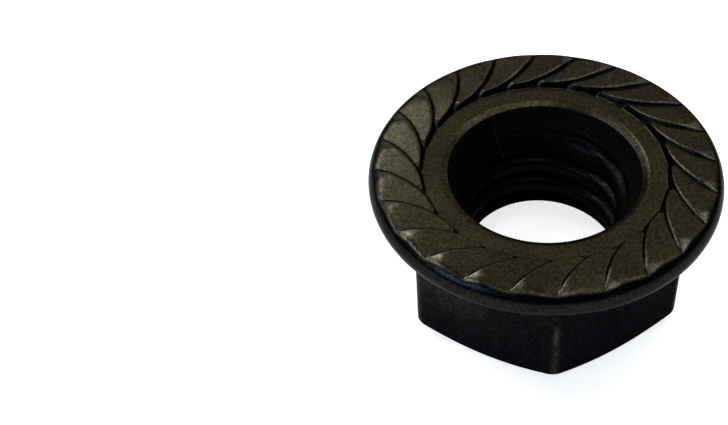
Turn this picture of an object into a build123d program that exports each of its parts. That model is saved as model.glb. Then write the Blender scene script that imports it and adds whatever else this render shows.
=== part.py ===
"""Serrated flange nut, 3/8-16: one forged and tapped piece.

Origin at the centre of the hexagon's end face, +Z toward the serrated face, flats facing +X and -X.
"""
import os
from math import radians, sin, tan

from build123d import *

os.makedirs("parts", exist_ok=True)

# Hexagon
across_flats = 14.3
corner_round = 0.75
end_face_d = 13.5
end_chamfer_angle = 30
end_round = 0.5
foot_width = 0.24      # how far the bead at the hexagon's foot stands out from the flats
foot_height = 0.35
foot_sweep = 0.75      # height of the hollow that runs from the flats out to the bead

# Flange
flange_d = 19.05
ring_z = 8.39          # flat bearing ring inside the teeth
crest_height = 0.49    # tooth crests above the ring
blank_height = 0.51    # blank that the teeth are pressed in
rim_round = 0.95       # rounding of the rim above its widest line
rim_turn = 40          # how far that rounding turns
top_round = 1.09       # flatter rounding from there over to the teeth
rim_crease_d = 18.8
rim_crease_z = 7.41    # where the back cone meets the rim
back_slope = 19.9

# Foot of the teeth on the ring
ring_d = 13.1
ring_wall_angle = 63   # steep step from the ring up to the teeth

# Bore, plain at the thread's minor diameter
minor_d = 8.1
mouth_d = 10.52
mouth_angle = 20       # half angle of the long lead-in on the bearing side
mouth_round = 0.5
end_mouth_d = 11.45
end_mouth_angle = 45

# Ratchet teeth: each has a steep wall that curves in to touch the ring, and a long ramp behind it
tooth_count = 24
groove_height = 0.24   # foot of the wall above the ring
groove_arc = 5.18      # plan radius of the wall at its foot
groove_touch = 6.6     # distance from the axis where that arc touches the ring
groove_bearing = 22.4  # bearing of the touching point
crest_arc = 5.19
crest_touch = 6.7
crest_bearing = 23.05
ramp_angle = 7
tip_r = 6.76           # where a tooth runs out on the ring
tip_bearing = 28.9
tip_angle = 35
tip_turn = 20
corner_r = 8.2         # where the facet on a tooth's outer corner begins
corner_bearing = 1.8
corner_height = 0.485
corner_fall = 0.15     # slope of the facet outward
corner_rise = 0.15     # slope of the facet round the flange

flat_r = across_flats / 2
flange_r = flange_d / 2
foot_r = flat_r + foot_width
foot_z = rim_crease_z - (rim_crease_d / 2 - foot_r) * tan(radians(back_slope))
blank_z = ring_z + blank_height
rim_z = blank_z - rim_round * sin(radians(rim_turn)) - top_round * (1 - sin(radians(rim_turn)))


def wall_point(rise, turn):
    """Plan point of a tooth wall at a share of its height, turned about the wall's own centre."""
    arc = groove_arc + rise * (crest_arc - groove_arc)
    reach = arc + groove_touch + rise * (crest_touch - groove_touch)
    bearing = groove_bearing + rise * (crest_bearing - groove_bearing)
    centre = Vector(reach, 0).rotate(Axis.Z, bearing)
    return centre + Vector(-arc, 0).rotate(Axis.Z, bearing + turn)


# Gullet between two teeth: the space above one ramp, up to the next tooth's wall
wall_foot = wall_point(0, 5)
wall_end = wall_point(0, 55)
wall_run = (wall_end - wall_foot).normalized()
across_wall = wall_run.rotate(Axis.Z, 90)
ramp = Plane(
    origin=(wall_foot.X, wall_foot.Y, ring_z + groove_height),
    x_dir=wall_run,
    z_dir=Vector(0, 0, 1) + across_wall * tan(radians(ramp_angle)),
)
with BuildPart() as space:
    for rise in (-1, 2):
        level = ring_z + groove_height + rise * (crest_height - groove_height)
        with BuildSketch(Plane.XY.offset(level)):
            with BuildLine():
                wall = ThreePointArc(wall_point(rise, 0), wall_point(rise, 35), wall_point(rise, 70))
                inner = (wall @ 0) * 0.9
                outer = wall @ 1
                Polyline(outer, outer.rotate(Axis.Z, -18), inner.rotate(Axis.Z, -30), inner, wall @ 0)
            make_face()
    loft(ruled=True)
with BuildPart() as gullet:
    add(space.part)
    split(bisect_by=ramp, keep=Keep.TOP)

# Where the tail of the tooth before that gullet runs out on the ring
tip_turned = tip_bearing - 360 / tooth_count
tip_point = Vector(tip_r, 0).rotate(Axis.Z, tip_turned)
tip_slope = Vector(0, -tan(radians(tip_angle))).rotate(Axis.Z, tip_turned + tip_turn)
with BuildPart() as tip:
    add(space.part)
    split(
        bisect_by=Plane((tip_point.X, tip_point.Y, ring_z), z_dir=Vector(0, 0, 1) - tip_slope),
        keep=Keep.TOP,
    )
    split(bisect_by=Plane.XY.offset(ring_z), keep=Keep.TOP)

# Facet on the outer corner of the tooth behind the gullet's wall
corner_point = Vector(corner_r, 0).rotate(Axis.Z, corner_bearing)
corner_slope = Vector(-corner_fall, corner_rise).rotate(Axis.Z, corner_bearing)
with BuildPart() as corner:
    with BuildSketch(Plane.XY.offset(ring_z)):
        with BuildLine():
            near = corner_point * 0.95
            far = corner_point * 1.3
            Polyline(
                near.rotate(Axis.Z, -7),
                far.rotate(Axis.Z, -7),
                far.rotate(Axis.Z, 9.5),
                near.rotate(Axis.Z, 9.5),
                close=True,
            )
        make_face()
    extrude(amount=1)
    split(bisect_by=ramp, keep=Keep.TOP)
    split(
        bisect_by=Plane(
            (corner_point.X, corner_point.Y, ring_z + corner_height), z_dir=Vector(0, 0, 1) - corner_slope
        ),
        keep=Keep.TOP,
    )

with BuildPart() as nut:
    # Hexagon with its end chamfered to a round face
    with BuildSketch():
        RegularPolygon(flat_r, 6, major_radius=False, rotation=30)
        fillet(vertices(), corner_round)
    extrude(amount=foot_z)
    with BuildSketch(Plane.XZ):
        with BuildLine():
            reach = flat_r + 2
            lift = (reach - end_face_d / 2) * tan(radians(end_chamfer_angle))
            Polyline((0, 0), (end_face_d / 2, 0), (reach, lift), (reach, blank_z), (0, blank_z), close=True)
        make_face()
    revolve(axis=Axis.Z, mode=Mode.INTERSECT)

    # Hollow that sweeps out from the flats to the bead at the hexagon's foot
    for share in (1, 0.5, 0):
        height = foot_height + share * foot_sweep
        width = foot_width * (1 - share) ** 2
        with BuildSketch(Plane.XY.offset(foot_z - height)):
            RegularPolygon(flat_r + width, 6, major_radius=False, rotation=30)
            fillet(vertices(), corner_round)
    loft()
    with BuildSketch(Plane.XY.offset(foot_z - foot_height)):
        RegularPolygon(foot_r, 6, major_radius=False, rotation=30)
        fillet(vertices(), corner_round)
    extrude(amount=2 * foot_height + 0.4)

    # Flange, flat ring and blank for the teeth
    with BuildSketch(Plane.XZ):
        with BuildLine():
            back = Polyline((0, foot_z), (foot_r, foot_z), (rim_crease_d / 2, rim_crease_z))
            rim = JernArc((flange_r, rim_z), (0, 1), rim_round, rim_turn)
            top = JernArc(rim @ 1, rim % 1, top_round, 90 - rim_turn)
            TangentArc(rim @ 0, back @ 1, tangent=(0, -1))
            wall_run_in = (blank_z - ring_z) / tan(radians(ring_wall_angle))
            Polyline(
                top @ 1,
                (ring_d / 2 + wall_run_in, blank_z),
                (ring_d / 2, ring_z),
                (0, ring_z),
                (0, foot_z),
            )
        make_face()
    revolve(axis=Axis.Z)

    # Teeth
    for cutter in (gullet, tip, corner):
        with PolarLocations(0, tooth_count):
            add(cutter.part, mode=Mode.SUBTRACT)

    # Bore with a lead-in at each end
    with BuildSketch(Plane.XZ):
        with BuildLine():
            end_depth = (end_mouth_d - minor_d) / 2 / tan(radians(end_mouth_angle))
            mouth_depth = (mouth_d - minor_d) / 2 / tan(radians(mouth_angle))
            Polyline(
                (0, 0),
                (end_mouth_d / 2, 0),
                (minor_d / 2, end_depth),
                (minor_d / 2, ring_z - mouth_depth),
                (mouth_d / 2, ring_z),
                (0, ring_z),
                (0, 0),
            )
        make_face()
    revolve(axis=Axis.Z, mode=Mode.SUBTRACT)

    # Softened edges at the mouth of the bore and round the hexagon's end face
    rings = edges().filter_by(GeomType.CIRCLE)
    fillet(rings.filter_by(lambda edge: abs(edge.radius - mouth_d / 2) < 0.01), mouth_round)
    fillet(rings.filter_by(lambda edge: abs(edge.radius - end_face_d / 2) < 0.01), end_round)

nut.part.label = "nut"
export_step(nut.part, "parts/nut.step")
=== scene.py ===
"""Serrated flange nut in black oxide, standing on its hexagon with the toothed face up."""
import math

import bmesh
import bpy
from mathutils import Matrix, Vector


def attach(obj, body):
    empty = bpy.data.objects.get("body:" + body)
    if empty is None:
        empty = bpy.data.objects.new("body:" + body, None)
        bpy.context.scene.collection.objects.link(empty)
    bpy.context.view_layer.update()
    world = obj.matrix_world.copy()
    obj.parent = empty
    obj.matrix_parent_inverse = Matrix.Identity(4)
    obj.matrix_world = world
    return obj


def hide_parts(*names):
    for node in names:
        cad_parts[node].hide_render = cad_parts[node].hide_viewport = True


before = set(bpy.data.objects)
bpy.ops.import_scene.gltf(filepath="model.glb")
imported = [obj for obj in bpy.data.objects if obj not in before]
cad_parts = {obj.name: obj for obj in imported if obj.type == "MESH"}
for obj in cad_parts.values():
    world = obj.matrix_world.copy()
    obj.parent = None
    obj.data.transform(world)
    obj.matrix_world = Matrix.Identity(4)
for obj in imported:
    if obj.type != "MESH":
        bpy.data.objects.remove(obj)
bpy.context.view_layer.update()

# ---------------------------------------------------------------- sizes, millimetres
MM = 0.001
ACROSS_FLATS = 14.3
CORNER_ROUND = 0.78
END_FACE_R = 6.75
END_SLOPE = math.radians(30)
FLANGE_R = 9.525
RING_Z = 8.39
RIM_ROUND, RIM_SOFT = 1.0, 0.16
RIM_Z = 7.9
CREASE_R, CREASE_Z = 9.4, 7.41
BACK_SLOPE = math.radians(19.9)
FOOT_WIDTH, FOOT_HEIGHT, FOOT_SWEEP = 0.24, 0.35, 0.75

RING_R = 6.54
RING_WALL = math.radians(63)
MOUTH_R, MOUTH_SLOPE = 5.26, math.radians(20)
# break between the ring and the lead-in
MOUTH_EDGE_R, MOUTH_EDGE_SLOPE = 5.6, math.radians(25.5)
# first turn of the thread, below the lead-in
THREAD_START_R, THREAD_START_Z, THREAD_START_SLOPE = 4.79, 7.1, math.radians(28)
END_MOUTH_R, END_MOUTH_SLOPE = 5.725, math.radians(45)

# thread, 3/8-16 UNC
PITCH = 1.5875
MINOR_R, MAJOR_R = 4.07, 4.7625
CREST_FLAT = 0.58
THREAD_MARK_Z = 4.40               # middle of a crest at the bearing below
THREAD_MARK_ANGLE = 82.05
THREAD_ANGLE = math.radians(30)    # half of the angle between two flanks

# ratchet teeth
TEETH = 24
TOOTH_TURN = 360 / TEETH
GROOVE_Z, CREST_Z = 0.24, 0.49
WALL_FOOT = (5.18, 6.60, 22.4)     # plan arc, radius where it touches the ring, bearing there
WALL_HEAD = (5.19, 6.70, 23.05)
RAMP_SLOPE = math.radians(7)
CREST_SOFT, GROOVE_SOFT, RING_SOFT = 0.24, 0.03, 0.08
# facet that breaks the outer corner of a tooth
CORNER_R, CORNER_BEARING, CORNER_HEIGHT = 8.2, 1.8, 0.485
CORNER_FALL_OUT, CORNER_RISE_AROUND, CORNER_SOFT = 0.15, 0.15, 0.05
TIP_R, TIP_BEARING = 6.76, 28.9    # where a tooth runs out on the ring
TIP_SLOPE, TIP_TURN = math.radians(35), math.radians(20)

# mesh columns at a tooth's wall, from its foot at 0 to its head at 1
TOOTH_STOPS = (-0.3, 0, 0.25, 0.5, 0.75, 1, 1.25, 1.6, 2.1)
COLUMNS = 20                       # mesh columns for one tooth
AROUND = TEETH * COLUMNS
SIDE_COLUMNS = AROUND // 6         # mesh columns for one flat of the hexagon
CORNER_COLUMNS, CORNER_HALF = 18, 2.95    # those at a corner, and half the angle they fill

# painted light at those columns of a wall: 1 is a painted highlight on the crest, -1 is painted
# shade on the wall and in the groove
STRONG_SHEEN_SHADE = (-0.9, -1, -1, -1, -0.7, 0.4, 1.0, 0.9, 0.3)
WEAK_SHEEN_SHADE = (0, 0, -0.7, -0.8, 0.1, 0.1, 0.1, 0, 0)
SHEEN_SHADE_BEARING = 65                  # side where the crests get the strongest painted highlight and the walls and grooves the darkest painted shade
SHADE_FADE = 8                     # how narrow the part opposite that side is, where the painted shade fades out
# painted highlight on a tooth's corner facet: its greatest value, and the depth of the facet under
# the ramp over which it grows
FACET_SHEEN, FACET_DEPTH = 0.9, 0.08
# painted shade on the walls at the ring's foot, with the width, least height and slope that find
# those walls
RING_FOOT_SHADE, RING_FOOT_WIDTH, RING_FOOT_LEVEL, RING_FOOT_SLOPE = -0.7, 0.2, 0.02, 1.2
# where the painted highlight and shade fade in past the ring and fade out towards the rim
SHEEN_SHADE_START, SHEEN_SHADE_END_R, SHEEN_SHADE_END_FADE = 0.05, 9.25, 0.2
# painted highlight down the hexagon's upright corners, and over how many columns it fades
CORNER_SHEEN, CORNER_SHEEN_COLUMNS = 0.8, 8


def polar(radius, degrees, z=0.0):
    turn = math.radians(degrees)
    return Vector((radius * math.cos(turn), radius * math.sin(turn), z))


def mix(a, b, share):
    return a + (b - a) * share


def soft_min(a, b, soft):
    """The lower of two heights, rounded where they cross."""
    gap = max(soft - abs(a - b), 0.0) / soft
    return min(a, b) - gap * gap * soft / 4


def soft_max(a, b, soft):
    return -soft_min(-a, -b, soft)


# ---------------------------------------------------------------- teeth
def arc_centre(wall):
    arc, touch, bearing = wall
    return polar(arc + touch, bearing)


def arc_bearing(wall, radius):
    """Bearing at which a wall's plan arc crosses a radius."""
    arc, touch, bearing = wall
    reach = arc + touch
    share = (reach * reach + radius * radius - arc * arc) / (2 * reach * radius)
    return bearing - math.degrees(math.acos(max(-1.0, min(1.0, share))))


def arc_point(wall, turn):
    arc, touch, bearing = wall
    return arc_centre(wall) + polar(-arc, bearing + turn)


FOOT_CENTRE, HEAD_CENTRE = arc_centre(WALL_FOOT), arc_centre(WALL_HEAD)
RAMP_FOOT = arc_point(WALL_FOOT, 5)
RAMP_RUN = (arc_point(WALL_FOOT, 55) - RAMP_FOOT).normalized()
RAMP_ACROSS = Vector((-RAMP_RUN.y, RAMP_RUN.x, 0))
TIP = polar(TIP_R, TIP_BEARING)
TIP_RISE = polar(1, TIP_BEARING - 90 + math.degrees(TIP_TURN)) * math.tan(TIP_SLOPE)
CORNER = polar(CORNER_R, CORNER_BEARING)
CORNER_RISE = (
    polar(-CORNER_FALL_OUT, CORNER_BEARING) + polar(CORNER_RISE_AROUND, CORNER_BEARING + 90)
)


def ramp_height(local):
    """Height of a tooth's long ramp over a plan point in the tooth's own place."""
    before = Matrix.Rotation(math.radians(-TOOTH_TURN), 3, "Z") @ local
    return GROOVE_Z - (before - RAMP_FOOT).dot(RAMP_ACROSS) * math.tan(RAMP_SLOPE)


def corner_height(local):
    """Height of the facet on a tooth's outer corner over the same kind of point."""
    return CORNER_HEIGHT + (local - CORNER).dot(CORNER_RISE)


def one_tooth(point, turn):
    """Height of one tooth over a plan point, the tooth turned back by `turn` degrees."""
    local = Matrix.Rotation(math.radians(-turn), 3, "Z") @ point
    past_foot = WALL_FOOT[0] - (local - FOOT_CENTRE).length
    past_head = WALL_HEAD[0] - (local - HEAD_CENTRE).length
    wall = GROOVE_Z + (CREST_Z - GROOVE_Z) * past_foot / (past_foot - past_head)
    tip = (local - TIP).dot(TIP_RISE)
    top = soft_min(soft_min(ramp_height(local), tip, RING_SOFT), corner_height(local), CORNER_SOFT)
    return soft_min(wall, top, CREST_SOFT)


def top_height(point):
    """Height of the toothed face above the ring."""
    radius = point.length
    if radius < RING_R - 0.3:
        return 0.0
    flat_point = Vector((point.x, point.y, 0))
    foot = arc_bearing(WALL_FOOT, max(radius, COLUMN_R))
    first = math.floor((math.degrees(math.atan2(point.y, point.x)) - foot) / TOOTH_TURN)
    teeth = -1.0
    for tooth in (first - 1, first, first + 1):
        teeth = soft_max(teeth, one_tooth(flat_point, tooth * TOOTH_TURN), GROOVE_SOFT)
    ring_wall = (radius - RING_R) * math.tan(RING_WALL)
    return soft_max(0.0, soft_min(teeth, ring_wall, RING_SOFT), RING_SOFT)


# ---------------------------------------------------------------- column bearings
COLUMN_R = 6.76                    # inside this radius the columns run straight in


def tooth_bearing(column, radius):
    """Bearing of a mesh column that follows the spiral of the teeth."""
    tooth, step = divmod(column, COLUMNS)
    foot = arc_bearing(WALL_FOOT, max(radius, COLUMN_R))
    wall = arc_bearing(WALL_HEAD, max(radius, COLUMN_R)) - foot
    if step < len(TOOTH_STOPS):
        local = wall * TOOTH_STOPS[step]
    else:
        share = (step - len(TOOTH_STOPS) + 1) / (COLUMNS - len(TOOTH_STOPS) + 1)
        local = mix(wall * TOOTH_STOPS[-1], TOOTH_TURN + wall * TOOTH_STOPS[0], share)
    return foot + local + tooth * TOOTH_TURN


def even_bearing(column):
    return column * 360 / AROUND


def hex_bearing(column):
    """Bearing of a mesh column on the hexagon, closer together round the corners."""
    offset = (column - SIDE_COLUMNS / 2) % SIDE_COLUMNS
    if offset > SIDE_COLUMNS / 2:
        offset -= SIDE_COLUMNS
    corner = (column - offset) * 360 / AROUND
    edge = CORNER_COLUMNS / 2
    if abs(offset) <= edge:
        return corner + offset / edge * CORNER_HALF
    share = (abs(offset) - edge) / (SIDE_COLUMNS / 2 - edge)
    return corner + math.copysign(mix(CORNER_HALF, 30, share), offset)


def hex_radius(bearing, flat, rounding):
    """Distance out to a hexagon with rounded corners."""
    off = abs(bearing % 60 - 30)     # angle away from the nearest corner
    core = (flat - rounding) / math.cos(math.radians(30))
    a = math.radians(off)
    on_flat = flat / math.cos(math.radians(30 - off))
    half = math.degrees(math.atan2(rounding / 2, core + rounding * math.cos(math.radians(30))))
    if off >= half:
        return on_flat
    return core * math.cos(a) + math.sqrt(rounding ** 2 - (core * math.sin(a)) ** 2)


# ---------------------------------------------------------------- rows of the skin
def thread_radius(z, bearing):
    mark = THREAD_MARK_Z + PITCH * (bearing - THREAD_MARK_ANGLE) / 360
    off = abs((z - mark + PITCH / 2) % PITCH - PITCH / 2) - CREST_FLAT / 2
    groove = MINOR_R + off / math.tan(THREAD_ANGLE)
    return soft_max(MINOR_R, soft_min(groove, MAJOR_R + 0.02, 0.12), 0.08)


def bore_radius(z, bearing):
    lead_in = MOUTH_R - (RING_Z - z) * math.tan(MOUTH_SLOPE)
    top = min(lead_in, THREAD_START_R - (THREAD_START_Z - z) * math.tan(THREAD_START_SLOPE))
    low = END_MOUTH_R - z * math.tan(END_MOUTH_SLOPE)
    thread = thread_radius(z, bearing)
    return soft_max(soft_max(thread, top, 0.05), low, 0.05)


# vertices, faces, and each vertex's painted highlight (above 0) or painted shade (below 0)
verts, faces, sheen_shade_values = [], [], []
shared = {}


def vertex(key, point, sheen_shade=0.0):
    if key not in shared:
        shared[key] = len(verts)
        verts.append(point * MM)
        sheen_shade_values.append(sheen_shade)
    return shared[key]


# Bore: rows follow the helix, so that the crests stay crisp, and end on two level rings
THREAD_STEPS = 13
BORE_LOW, BORE_TOP = 0.75, 7.25
steps_needed = int(math.ceil((BORE_TOP - BORE_LOW) / PITCH + 1)) * THREAD_STEPS
BORE_TWIST = 23.5                  # turn of the columns up the bore, toward those of the teeth


def bore_row(column, step):
    """Key and point of the bore's vertex at a column and a step along the helix."""
    turns, local = divmod(column, AROUND)
    step += turns * THREAD_STEPS
    bearing = even_bearing(local)
    z = BORE_LOW - PITCH + PITCH * (step / THREAD_STEPS + bearing / 360)
    snap = 0.3 * PITCH / THREAD_STEPS
    if z > BORE_TOP - snap:
        z, step = BORE_TOP, "top"
    elif z < BORE_LOW + snap:
        z, step = BORE_LOW, "low"
    return ("bore", local, step), z, bearing


def bore_vertex(column, step):
    key, z, bearing = bore_row(column, step)
    twist = BORE_TWIST * (z - BORE_LOW) / (BORE_TOP - BORE_LOW)
    return vertex(key, polar(bore_radius(z, bearing + twist), bearing + twist, z))


def join(row, next_row):
    """Faces between two rows of vertices, column by column."""
    for column in range(AROUND):
        after = (column + 1) % AROUND
        ring = []
        for corner in (row[column], row[after], next_row[after], next_row[column]):
            if corner not in ring:
                ring.append(corner)
        if len(ring) > 2:
            faces.append(ring)


def add_row(name, place, sheen_shade=None):
    """One row of the skin: `place` gives a column's radius, bearing and height, the last argument
    its painted highlight or shade.
    """
    row = []
    for column in range(AROUND):
        radius, bearing, z = place(column)
        row.append(vertex((name, column), polar(radius, bearing, z), sheen_shade(column) if sheen_shade else 0.0))
    return row


for column in range(AROUND):
    for step in range(steps_needed):
        ring = []
        for corner in (
            bore_vertex(column, step),
            bore_vertex(column + 1, step),
            bore_vertex(column + 1, step + 1),
            bore_vertex(column, step + 1),
        ):
            if corner not in ring:
                ring.append(corner)
        if len(ring) > 2:
            faces.append(ring)

bore_top = [shared[("bore", column, "top")] for column in range(AROUND)]
bore_low = [shared[("bore", column, "low")] for column in range(AROUND)]
rows = [bore_top]


# lead-in, its broken edge and the flat ring
def inner_place(radius, z, share):
    """A level row whose columns turn from the bore's bearings to those of the teeth."""
    def place(column):
        bearing = mix(even_bearing(column) + BORE_TWIST, tooth_bearing(column, COLUMN_R), share)
        return radius, bearing, z
    return place


def mouth_z(radius):
    """Height of the lead-in, the broken edge and the ring."""
    lead_in = RING_Z - (MOUTH_R - radius) / math.tan(MOUTH_SLOPE)
    edge = RING_Z - (MOUTH_EDGE_R - radius) * math.tan(MOUTH_EDGE_SLOPE)
    return soft_min(soft_min(lead_in, edge, 0.06), RING_Z, 0.05)


MOUTH_ROWS = (
    5.0, 5.12, 5.15, 5.17, 5.185, 5.2, 5.22, 5.26, 5.34, 5.42,
    5.5, 5.55, 5.6, 5.65, 5.71, 5.9, 6.1, 6.29,
)
inner = [(radius, mouth_z(radius)) for radius in MOUTH_ROWS]
for index, (radius, z) in enumerate(inner):
    rows.append(add_row(("inner", index), inner_place(radius, z, index / (len(inner) - 1))))


# foot of the teeth on the ring, the teeth themselves, and the rim that rounds them off
def tooth_place(radius, rim):
    """A row over the teeth, cut off by the height of the rounded rim."""
    def place(column):
        bearing = tooth_bearing(column, min(radius, RIM_COLUMN_R))
        level = soft_min(top_height(polar(radius, bearing)), rim - RING_Z, RIM_SOFT)
        return radius, bearing, RING_Z + level
    return place


def tooth_sheen_shade(radius):
    """Painted light along a row: a painted highlight on crests and corner facets, painted shade on
    the walls and in the grooves.
    """
    from_ring = radius - RING_R
    fade_in = (from_ring + SHEEN_SHADE_START) / (2 * SHEEN_SHADE_START)
    fade_out = (SHEEN_SHADE_END_R - radius) / SHEEN_SHADE_END_FADE
    on_teeth = max(0.0, min(1.0, fade_in, fade_out))

    def sheen_shade(column):
        tooth, step = divmod(column, COLUMNS)
        bearing = tooth_bearing(column, min(radius, RIM_COLUMN_R))
        toward_strong_side = math.cos(math.radians(bearing - SHEEN_SHADE_BEARING))
        amount = 0.0
        if step < len(STRONG_SHEEN_SHADE):
            amount = mix(WEAK_SHEEN_SHADE[step], STRONG_SHEEN_SHADE[step], 0.5 + 0.5 * toward_strong_side)
        # painted shade fades out opposite the strong side
        if amount < 0:
            amount *= 1 - max(0.0, -toward_strong_side) ** SHADE_FADE
        else:
            # painted highlight on the corner facet
            point = polar(radius, bearing - tooth * TOOTH_TURN)
            above_facet = ramp_height(point) - corner_height(point)
            amount = max(amount, min(FACET_SHEEN, above_facet / FACET_DEPTH))
        # painted shade on the walls at the ring's foot
        if -SHEEN_SHADE_START < from_ring < RING_FOOT_WIDTH:
            level = top_height(polar(radius, bearing))
            on_wall = level > RING_FOOT_LEVEL and level > from_ring * RING_FOOT_SLOPE
            amount = min(amount, RING_FOOT_SHADE if on_wall else 0.0)
        return amount * on_teeth
    return sheen_shade


RIM_COLUMN_R = 9.3                 # outside this radius the columns run straight out
RIM_START = FLANGE_R - RIM_ROUND
RING_ROWS = (
    6.40, 6.46, 6.50, 6.53, 6.56, 6.59, 6.62, 6.66,
    6.70, 6.74, 6.78, 6.82, 6.87, 6.93, 7.0, 7.08,
)
TOOTH_ROWS = (7.18, 7.3, 7.45, 7.6, 7.8, 8.0, 8.2, 8.4)
for index, radius in enumerate(RING_ROWS + TOOTH_ROWS):
    rim = RIM_Z + RIM_ROUND + (RIM_START - radius) ** 2
    rows.append(add_row(("tooth", index), tooth_place(radius, rim), tooth_sheen_shade(radius)))

RIM_ROWS = 20
for index in range(RIM_ROWS + 1):
    angle = math.radians(90 - 90 * index / RIM_ROWS)
    radius, level = RIM_START + RIM_ROUND * math.cos(angle), RIM_Z + RIM_ROUND * math.sin(angle)
    rows.append(add_row(("rim", index), tooth_place(radius, level), tooth_sheen_shade(radius)))


def rim_bearing(column):
    return tooth_bearing(column, RIM_COLUMN_R)


# rim below its widest line, crease, back cone
drop = RIM_Z - CREASE_Z
rim_arc = ((FLANGE_R - CREASE_R) ** 2 + drop ** 2) / (2 * (FLANGE_R - CREASE_R))
under = []
UNDER_SHARES = (0.25, 0.5, 0.75, 0.95)
for share in UNDER_SHARES:
    z = RIM_Z - drop * share
    under.append((FLANGE_R - rim_arc + math.sqrt(rim_arc ** 2 - (RIM_Z - z) ** 2), z))
CREASE_IN, CREASE_UP = 0.02, 0.002        # the crease is broken a little
under.append((CREASE_R - CREASE_IN, CREASE_Z + CREASE_UP))


def under_place(radius, z):
    return lambda column: (radius, rim_bearing(column), z)


for index, (radius, z) in enumerate(under):
    rows.append(add_row(("under", index), under_place(radius, z)))

FLAT_R = ACROSS_FLATS / 2
FOOT_Z = CREASE_Z - (CREASE_R - FLAT_R - FOOT_WIDTH) * math.tan(BACK_SLOPE)


def back_z(radius):
    return CREASE_Z - (CREASE_R - radius) * math.tan(BACK_SLOPE)


def foot_radius(column, out=FOOT_WIDTH, rounding=CORNER_ROUND):
    return hex_radius(hex_bearing(column), FLAT_R + out, rounding)


BACK_SHARES = (0.04, 0.15, 0.3, 0.45, 0.6, 0.75, 0.88, 0.96, 1)
BEAD_GAP = 0.03                    # the cone ends this far outside the bead
for index, share in enumerate(BACK_SHARES):
    def back_place(column, share=share):
        radius = mix(CREASE_R - CREASE_IN, foot_radius(column) + BEAD_GAP, share)
        return radius, mix(rim_bearing(column), hex_bearing(column), share), back_z(radius)
    rows.append(add_row(("back", index), back_place))

# bead at the hexagon's foot, hollow up to the flats
sweep_arc = (FOOT_WIDTH ** 2 + FOOT_SWEEP ** 2) / (2 * FOOT_WIDTH)
sweep_top = FOOT_Z - FOOT_HEIGHT - FOOT_SWEEP
bead_z = sweep_top + FOOT_SWEEP
BEAD_DROP = 0.035                  # the bead starts this far below the cone
# distance out from the flat and height; the first follows the cone
foot = [
    (FOOT_WIDTH + 0.004, None),
    (FOOT_WIDTH, bead_z + 0.1),
    (FOOT_WIDTH - 0.012, bead_z + 0.03),
    (FOOT_WIDTH - 0.04, bead_z - 0.03),
]
for angle in (30, 24, 18, 12, 6, 0):
    a = math.radians(angle)
    foot.append((sweep_arc * (1 - math.cos(a)), sweep_top + sweep_arc * math.sin(a)))
for index, (out, z) in enumerate(foot):
    def foot_place(column, out=out, z=z):
        radius = foot_radius(column, out)
        level = back_z(radius) - BEAD_DROP if z is None else z
        return radius, hex_bearing(column), level
    rows.append(add_row(("foot", index), foot_place))

# flats, end chamfer, rounded end face
END_ROUND, CHAMFER_SOFT = 0.8, 0.16
arc_top = END_ROUND * (1 - math.cos(END_SLOPE))


def chamfer_z(column):
    return (foot_radius(column, 0) - END_FACE_R) * math.tan(END_SLOPE)


def flat_place(place_z):
    def place(column):
        z = place_z(chamfer_z(column))
        chamfer = END_FACE_R + z / math.tan(END_SLOPE)
        radius = soft_min(foot_radius(column, 0), chamfer, CHAMFER_SOFT)
        return radius, hex_bearing(column), z
    return place


def hex_corner_sheen(column):
    """Painted highlight down the hexagon's upright corners."""
    offset = abs(column % SIDE_COLUMNS - SIDE_COLUMNS / 2)
    return CORNER_SHEEN * max(0.0, 1 - offset / CORNER_SHEEN_COLUMNS)


# heights of the rows down a flat, from the chamfer's height `c` at each column
FLAT_END = 0.3                     # the flat's plain rows end this far above the chamfer
levels = [lambda c, s=s: mix(sweep_top, c + FLAT_END, s) for s in (0.3, 0.65, 1)]
levels += [lambda c, d=d: c + d for d in (0.18, 0.1, 0.05, 0)]
levels += [lambda c, s=s: mix(c, arc_top, s) for s in (0.2, 0.45, 0.75, 1)]
for index, place_z in enumerate(levels):
    rows.append(add_row(("flat", index), flat_place(place_z), hex_corner_sheen))


def end_place(radius, z, share):
    """A level row whose columns turn from the hexagon's bearings to even ones."""
    return lambda column: (radius, mix(hex_bearing(column), even_bearing(column), share), z)


for index, angle in enumerate((24, 18, 12, 6, 0)):
    a = math.radians(angle)
    radius = END_FACE_R + END_ROUND * (math.sin(a) - math.tan(END_SLOPE / 2))
    rows.append(add_row(("end", index), end_place(radius, END_ROUND * (1 - math.cos(a)), 0)))

# end face and the countersink's softened edge: radius, height, share of the turn to even bearings
FACE_ROWS = (
    (6.2, 0, 0.4),
    (END_MOUTH_R + 0.08, 0, 0.8),
    (END_MOUTH_R + 0.02, 0.02, 0.85),
    (END_MOUTH_R - 0.04, 0.06, 0.9),
    (5.3, 0.425, 0.95),
)
for index, (radius, z, share) in enumerate(FACE_ROWS):
    rows.append(add_row(("face", index), end_place(radius, z, share)))
rows.append(bore_low)
for row, next_row in zip(rows, rows[1:]):
    join(row, next_row)

mesh = bpy.data.meshes.new("nut_skin")
mesh.from_pydata([tuple(v) for v in verts], [], faces)
work = bmesh.new()
work.from_mesh(mesh)
bmesh.ops.recalc_face_normals(work, faces=work.faces)
work.to_mesh(mesh)
work.free()
# each vertex's painted highlight (above 0) or painted shade (below 0), for the material
mesh.attributes.new("sheen_shade", "FLOAT", "POINT").data.foreach_set("value", sheen_shade_values)
for polygon in mesh.polygons:
    polygon.use_smooth = True
nut = bpy.data.objects.new("nut_skin", mesh)
bpy.context.scene.collection.objects.link(nut)
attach(nut, "root")
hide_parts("nut")

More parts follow.
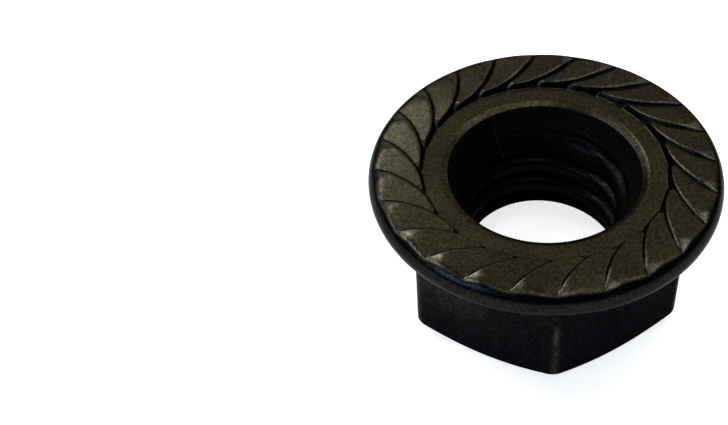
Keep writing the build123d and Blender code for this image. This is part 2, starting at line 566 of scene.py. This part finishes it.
# ---------------------------------------------------------------- black oxide
TOP_TINT = (0.0300, 0.0273, 0.0169)        # oiled bearing face
SIDE_TINT = (0.0112, 0.0119, 0.0132)       # hexagon and back of the flange, darker and bluer than the top: painted shade and a painted blue reflection
HEX_REFLECTION_TINT = (0.0324, 0.0300, 0.0267)     # painted reflection: a paler, warmer patch at one upper corner of the hexagon
RIM_TINT = (0.0173, 0.0162, 0.0140)        # rim, paler: rubbed by handling, and a painted reflection of the lit floor
LEAD_IN_TINT = (0.0156, 0.0134, 0.0110)
# threads, darker than the lead-in: painted shade deep in the bore
THREAD_SHADE_TINT = (0.0092, 0.0079, 0.0063)
BORE_METALLIC = 0.7                        # dry and sooty, so part of its colour is matt
GROOVE_SHADE_TINT = (0.0046, 0.0046, 0.0047)     # painted shade on the walls of the teeth, in their grooves and at the ring's foot
SHEEN_TINT = (0.0756, 0.0729, 0.0580)       # painted highlight on crests, corner facets and the hexagon's corners
SPECK_TINT = (0.0540, 0.0567, 0.0594)
SCRATCH_BEARING = 118                      # one scratch down the bore
# side of the hexagon that gets the painted reflection
HEX_REFLECTION_BEARING = 185

steel = bpy.data.materials.new("black_oxide")
steel.use_nodes = True
tree = steel.node_tree
shader = tree.nodes["Principled BSDF"]


def node(kind, inputs, out=0, **settings):
    """Adds a shader node and gives its output. An input is a number, a colour or another output."""
    made = tree.nodes.new("ShaderNode" + kind)
    for name, value in settings.items():
        setattr(made, name, value)
    for name, value in inputs.items():
        if isinstance(value, bpy.types.NodeSocket):
            tree.links.new(value, made.inputs[name])
        else:
            made.inputs[name].default_value = value
    return made.outputs[out]


def ramp(value, low, high, to_low=0.0, to_high=1.0):
    return node(
        "MapRange",
        {"Value": value, "From Min": low, "From Max": high, "To Min": to_low, "To Max": to_high},
        interpolation_type="SMOOTHSTEP",
    )


def times(a, b):
    return node("Math", {0: a, 1: b}, operation="MULTIPLY")


def along(direction):
    """How far a place lies along a direction from the axis."""
    return node("VectorMath", {0: position, 1: direction}, out=1, operation="DOT_PRODUCT")


def blend(share, a, b):
    def colour(value):
        return value if isinstance(value, bpy.types.NodeSocket) else (*value, 1)
    return node("Mix", {0: share, 6: colour(a), 7: colour(b)}, out=2, data_type="RGBA")


def noise(size_mm, detail=2.0, stretch=(1, 1, 1)):
    """Cloudy noise whose blobs are about this many millimetres across."""
    place = node("VectorMath", {0: position, 1: stretch}, operation="MULTIPLY")
    return node("TexNoise", {"Vector": place, "Scale": 0.5 / (size_mm * MM), "Detail": detail})


position = node("TexCoord", {}, out=3)
height = node("SeparateXYZ", {0: position}, out=2)
plan = node("VectorMath", {0: position, 1: (1, 1, 0)}, operation="MULTIPLY")
radius = node("VectorMath", {0: plan}, out=1, operation="LENGTH")
on_top = ramp(height, 7.9 * MM, 8.2 * MM)
in_bore = ramp(radius, 5.17 * MM, 5.2 * MM, 1.0, 0.0)
# painted highlight (above 0) and painted shade (below 0) from the mesh
sheen_shade_map = node("Attribute", {}, out=2, attribute_name="sheen_shade")

# noises, and masks that say where each finish lies
cloud = noise(1.4, 4)
grain = noise(0.10, 3)
fine = noise(0.05, 1)
streaks = noise(0.5, 3, stretch=(1, 1, 9))
in_thread = times(in_bore, ramp(height, 6.6 * MM, 7.1 * MM, 1.0, 0.0))
oiled = times(on_top, ramp(radius, 9.0 * MM, 9.3 * MM, 1.0, 0.0))
rim = times(ramp(radius, 9.2 * MM, 9.4 * MM), ramp(height, 7.45 * MM, 7.6 * MM))
under_rim = times(ramp(radius, 9.3 * MM, 9.38 * MM), ramp(height, 7.45 * MM, 7.65 * MM, 1.0, 0.0))
# painted reflection, paler towards one side and higher up the hexagon
toward_hex_reflection = along(polar(1, HEX_REFLECTION_BEARING))
hex_reflection = times(ramp(toward_hex_reflection, 2 * MM, 7.5 * MM), ramp(height, 1.2 * MM, 6.2 * MM))

# colour: each finish over the last, with the painted reflection and the painted shade of the sides
# and threads, then specks, painted highlights, painted shade on the teeth's walls and the scratch
tint = blend(hex_reflection, SIDE_TINT, HEX_REFLECTION_TINT)
# paler rim band: rubbed, and a painted reflection
tint = blend(rim, tint, RIM_TINT)
tint = blend(oiled, tint, TOP_TINT)
tint = blend(in_bore, tint, LEAD_IN_TINT)
# painted shade in the threads
tint = blend(in_thread, tint, THREAD_SHADE_TINT)
cells = {"Vector": position, "Scale": 2.0 / MM}
to_speck = node("TexVoronoi", cells)
chance = node("SeparateXYZ", {0: node("TexVoronoi", cells, out=1)})
speck = times(ramp(to_speck, 0.06, 0.15, 1.0, 0.0), ramp(chance, 0.55, 0.62))
painted_sheen = times(ramp(sheen_shade_map, 0.1, 1.0), ramp(noise(0.4, 3), 0.35, 0.6, 0.5, 1.0))
tint = blend(times(speck, ramp(on_top, 0.0, 1.0, 0.6, 0.3)), tint, SPECK_TINT)
# painted highlight on crests, corner facets and the hexagon's corners, broken up by noise
tint = blend(times(painted_sheen, 0.8), tint, SHEEN_TINT)
# painted shade on the teeth's walls, in their grooves and at the ring's foot
tint = blend(ramp(sheen_shade_map, -0.2, -0.9), tint, GROOVE_SHADE_TINT)
ahead = along(polar(1, SCRATCH_BEARING))
aside = node("Math", {0: along(polar(1, SCRATCH_BEARING + 90))}, operation="ABSOLUTE")
scratch = times(ramp(aside, 0.015 * MM, 0.05 * MM, 1.0, 0.0), ramp(ahead, 0, 1 * MM))
scratch = times(times(scratch, in_bore), ramp(height, 4.6 * MM, 5.2 * MM))
tint = blend(times(scratch, 0.8), tint, SPECK_TINT)

# uneven brightness, with coarser flecks away from the top and the rim, and painted shade along the
# rim's lower edge
off_top = node("Math", {0: 1.0, 1: oiled}, operation="SUBTRACT")
brightness = times(ramp(cloud, 0.3, 0.7, 0.84, 1.18), ramp(grain, 0.3, 0.7, 0.72, 1.30))
brightness = times(brightness, ramp(fine, 0.3, 0.7, 0.78, 1.22))
coarse = ramp(noise(0.04, 2), 0.3, 0.7, 0.55, 1.45)
smooth_rim = node("Math", {0: 1.0, 1: rim}, operation="SUBTRACT")
speckled = node("Mix", {0: times(off_top, smooth_rim), 2: 1.0, 3: coarse})
brightness = times(brightness, speckled)
# painted shade along the rim's lower edge
brightness = times(brightness, ramp(under_rim, 0.0, 1.0, 1.0, 0.4))
tint = node("VectorMath", {0: tint, 3: brightness}, operation="SCALE")
tree.links.new(tint, shader.inputs["Base Color"])

# gloss and relief
tree.links.new(ramp(in_bore, 0.0, 1.0, 1.0, BORE_METALLIC), shader.inputs["Metallic"])
shader.inputs["Specular IOR Level"].default_value = 0.0
grazing = blend(rim, (0.5, 0.5, 0.5), (0.68, 0.68, 0.68))
tree.links.new(grazing, shader.inputs["Specular Tint"])
in_lead = node("Math", {0: in_bore, 1: in_thread}, operation="SUBTRACT")
roughness = ramp(noise(0.6, 4), 0.3, 0.7, 0.25, 0.33)
roughness = node("Mix", {0: in_lead, 2: roughness, 3: 0.45})
roughness = times(roughness, ramp(rim, 0.0, 1.0, 1.0, 0.8))
tree.links.new(roughness, shader.inputs["Roughness"])
relief = node("Bump", {"Height": grain, "Strength": 0.4, "Distance": 0.008 * MM})
pits = {"Height": noise(0.35, 2), "Strength": 0.25, "Distance": 0.010 * MM, "Normal": relief}
turned = {"Height": streaks, "Strength": times(in_bore, 0.5), "Distance": 0.03 * MM}
turned = node("Bump", {**turned, "Normal": node("Bump", pits)})
tree.links.new(turned, shader.inputs["Normal"])
mesh.materials.append(steel)

# ---------------------------------------------------------------- floor, light, camera
bpy.ops.mesh.primitive_plane_add(size=1.2)
floor = bpy.context.object
floor.name = "floor"
floor.location.z = -0.01 * MM      # just clear of the end face
paint = bpy.data.materials.new("floor_paint")
paint.use_nodes = True
tree = paint.node_tree
floor_shader = tree.nodes["Principled BSDF"]
CAMERA_GLOW, MIRROR_GLOW = 0.8, 0.1    # how white the floor is to the camera, and in the metal
floor_shader.inputs["Base Color"].default_value = (0.97, 0.97, 0.97, 1)
floor_shader.inputs["Roughness"].default_value = 1.0
floor_shader.inputs["Specular IOR Level"].default_value = 0.0
floor_shader.inputs["Emission Color"].default_value = (1, 1, 1, 1)
to_camera_rays = node("LightPath", {}, out="Is Camera Ray")
to_glossy_rays = node("LightPath", {}, out="Is Glossy Ray")
to_clear_rays = node("LightPath", {}, out="Is Transmission Ray")
mirrored = node("Math", {0: to_glossy_rays, 1: to_clear_rays}, operation="MAXIMUM")
seen, shown = times(to_camera_rays, CAMERA_GLOW), times(mirrored, MIRROR_GLOW)
glow = node("Math", {0: seen, 1: shown}, operation="MAXIMUM")
tree.links.new(glow, floor_shader.inputs["Emission Strength"])
floor.data.materials.append(paint)

world = bpy.data.worlds.new("studio")
bpy.context.scene.world = world
world.use_nodes = True
world.node_tree.nodes["Background"].inputs["Color"].default_value = (0.045, 0.052, 0.063, 1)

LAMP_DISTANCE = 0.35


def lamp(name, azimuth, elevation, spread, radiance, colour):
    """A disc lamp aimed at the nut: `spread` is half the angle it fills, seen from the nut."""
    data = bpy.data.lights.new(name, "AREA")
    data.shape = "DISK"
    data.size = 2 * LAMP_DISTANCE * math.tan(math.radians(spread))
    data.energy = radiance * math.pi * math.pi * data.size ** 2 / 4
    data.color = colour
    light = bpy.data.objects.new(name, data)
    raised = Matrix.Rotation(-math.radians(elevation), 3, "Y")
    turned_round = Matrix.Rotation(math.radians(azimuth), 3, "Z")
    light.location = turned_round @ raised @ Vector((LAMP_DISTANCE, 0, 0))
    light.rotation_euler = (-light.location).to_track_quat("-Z", "Y").to_euler()
    bpy.context.scene.collection.objects.link(light)


# name, azimuth, elevation, spread, radiance, colour
lamp("key", 115, 49, 6, 15.6, (0.95, 0.93, 1))
lamp("key_upper", 100, 61, 4.5, 2.81, (1, 0.98, 0.88))
lamp("far", 74, 36, 30, 0.652, (1, 0.97, 0.82))
lamp("left", 148, 44, 9, 4.59, (1, 0.98, 0.9))
lamp("left_upper", 166, 58, 9, 5.93, (1, 0.98, 0.9))
lamp("above", 315, 80, 16, 1.85, (1, 0.99, 0.93))
lamp("far_above", 28, 61, 10, 2.96, (1, 0.99, 0.93))
lamp("sky", 214, 30, 15, 3.11, (0.30, 0.55, 1))

# camera fitted to the picture: tilt and roll about the nut, distance in flange radii
VIEW_ELEVATION, VIEW_ROLL, VIEW_DISTANCE = math.radians(44.87), math.radians(3.20), 7.755
VIEW_LENGTH, CENTRE_U, CENTRE_V = 1355.86, 544.11, 171.09    # pixels
VIEW_Z = 8.2                       # height of the point at that centre
WIDTH, HEIGHT = 728, 425
FIT_TURN = math.radians(7.95)
SENSOR_WIDTH = 36

across_view = (CENTRE_U - WIDTH / 2) / VIEW_LENGTH
down_view = (CENTRE_V - HEIGHT / 2) / VIEW_LENGTH
forward = Vector((across_view, down_view, 1)).normalized()
up = Vector((math.sin(VIEW_ROLL), -math.cos(VIEW_ROLL), 0))
right = (-up).cross(forward).normalized()
down = forward.cross(right)
nut_z = -down * math.cos(VIEW_ELEVATION) - forward * math.sin(VIEW_ELEVATION)
nut_x = right
nut_y = nut_z.cross(nut_x)
# rows of the camera's axes in the nut's own frame, then turned so that the flats face X
to_camera = Matrix((nut_x, nut_y, nut_z)).transposed()
to_camera = to_camera @ Matrix.Rotation(FIT_TURN, 3, "Z")
offset = forward * VIEW_DISTANCE
place = -(to_camera.transposed() @ offset) * FLANGE_R * MM + Vector((0, 0, VIEW_Z * MM))
axes = Matrix((to_camera[0], -to_camera[1], -to_camera[2])).transposed()
camera_data = bpy.data.cameras.new("camera")
camera_data.sensor_width = SENSOR_WIDTH
camera_data.lens = SENSOR_WIDTH * VIEW_LENGTH / WIDTH
camera_data.clip_start = 0.005
camera = bpy.data.objects.new("camera", camera_data)
camera.matrix_world = Matrix.Translation(place) @ axes.to_4x4()
bpy.context.scene.collection.objects.link(camera)
bpy.context.scene.camera = camera
bpy.context.scene.view_settings.view_transform = "Standard"
